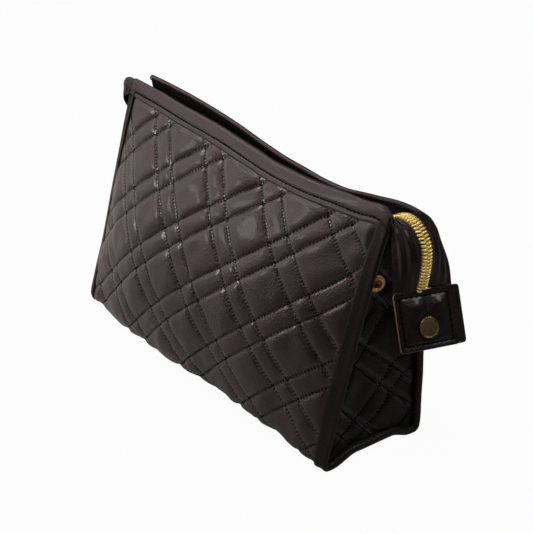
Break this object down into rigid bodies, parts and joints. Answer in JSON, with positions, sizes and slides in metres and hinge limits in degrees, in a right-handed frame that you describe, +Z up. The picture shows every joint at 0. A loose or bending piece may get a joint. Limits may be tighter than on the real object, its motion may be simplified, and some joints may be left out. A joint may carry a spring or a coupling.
{
  "type": "jewellery case",
  "caption": "Soft quilted leather jewellery case with bound edges, folded end panels, a recessed coil zip and press-stud tabs at the ends.",
  "frame": {"origin": "middle of the flat underside", "axes": "+X along the case towards the end whose tab hangs loose, -Y out of the front wall, +Z up"},
  "size_m": [0.3055, 0.1062, 0.1576],
  "materials": {
    "quilted_leather": "soft quilted leather, satin",
    "binding_leather": "smooth leather, satin",
    "facing_leather": "smooth leather, satin",
    "lining_cloth": "woven cloth",
    "wadding": "loose wadding",
    "zip_tape": "woven tape",
    "zip_coil": "metallised coil",
    "zip_metal": "polished",
    "antique_brass": "antiqued",
    "polished_brass": "polished"
  },
  "bodies": {
    "base": {"base_panel": "quilted_leather", "base_padding": "wadding", "base_lining": "lining_cloth", "left_base_binding": "binding_leather", "left_gusset": "quilted_leather", "left_gusset_lining": "lining_cloth", "left_zip_end_tape": "zip_tape", "right_base_binding": "binding_leather", "right_gusset": "quilted_leather", "right_gusset_lining": "lining_cloth", "right_zip_end_tape": "zip_tape", "right_zip_end_coil": "zip_coil", "sockets": "polished_brass", "socket_posts": "polished_brass"},
    "front_wall": {"front_panel": "quilted_leather", "front_padding": "wadding", "front_lining": "lining_cloth", "front_top_binding": "binding_leather", "front_left_binding": "binding_leather", "front_right_binding": "binding_leather", "front_facing": "facing_leather", "front_zip_tape": "zip_tape", "front_zip_teeth": "zip_coil"},
    "rear_wall": {"rear_panel": "quilted_leather", "rear_padding": "wadding", "rear_lining": "lining_cloth", "rear_top_binding": "binding_leather", "rear_left_binding": "binding_leather", "rear_right_binding": "binding_leather", "rear_facing": "facing_leather", "rear_zip_tape": "zip_tape", "rear_zip_teeth": "zip_coil"},
    "slider": {"zip_slider": "zip_metal", "zip_slider_bail": "zip_metal"},
    "pull": {"zip_pull": "zip_metal"},
    "right_tab": {"right_wing_tape": "zip_tape", "right_wing_front_facing": "facing_leather", "right_wing_rear_facing": "facing_leather", "right_tab_front": "facing_leather", "right_tab_back": "facing_leather", "right_snap_cap": "antique_brass", "right_snap_stud": "antique_brass", "right_wing_coil": "zip_coil"},
    "left_tab": {"left_wing_tape": "zip_tape", "left_wing_front_facing": "facing_leather", "left_wing_rear_facing": "facing_leather", "left_tab_front": "facing_leather", "left_tab_back": "facing_leather", "left_snap_cap": "antique_brass", "left_snap_stud": "antique_brass"}
  },
  "joints": [
    {"name": "mouth_open", "type": "hinge", "parent": "base", "child": "front_wall", "pos_m": [0, -0.04, 0.01], "axis": [1, 0, 0], "range_deg": [0, 10]},
    {"name": "rear_wall_open", "type": "hinge", "parent": "base", "child": "rear_wall", "pos_m": [0, 0.04, 0.01], "axis": [-1, 0, 0], "range_deg": [0, 10]},
    {"name": "zip_slide", "type": "slide", "parent": "base", "child": "slider", "axis": [1, 0, 0], "range_m": [0, 0.1865]},
    {"name": "pull_lift", "type": "hinge", "parent": "slider", "child": "pull", "pos_m": [-0.087, 0, 0.1467], "axis": [0, 1, 0], "range_deg": [0, 120]},
    {"name": "right_tab_lift", "type": "hinge", "parent": "base", "child": "right_tab", "pos_m": [0.1284, 0, 0.1533], "axis": [0, -1, 0], "range_deg": [-18, 70]},
    {"name": "left_tab_lift", "type": "hinge", "parent": "base", "child": "left_tab", "pos_m": [-0.1284, 0, 0.1533], "axis": [0, 1, 0], "range_deg": [0, 75]}
  ],
  "couplings": [
    {"joint": "rear_wall_open", "follows": "mouth_open", "ratio": 1},
    {"joint": "zip_slide", "follows": "mouth_open", "m_per_rad": 1.0657}
  ]
}
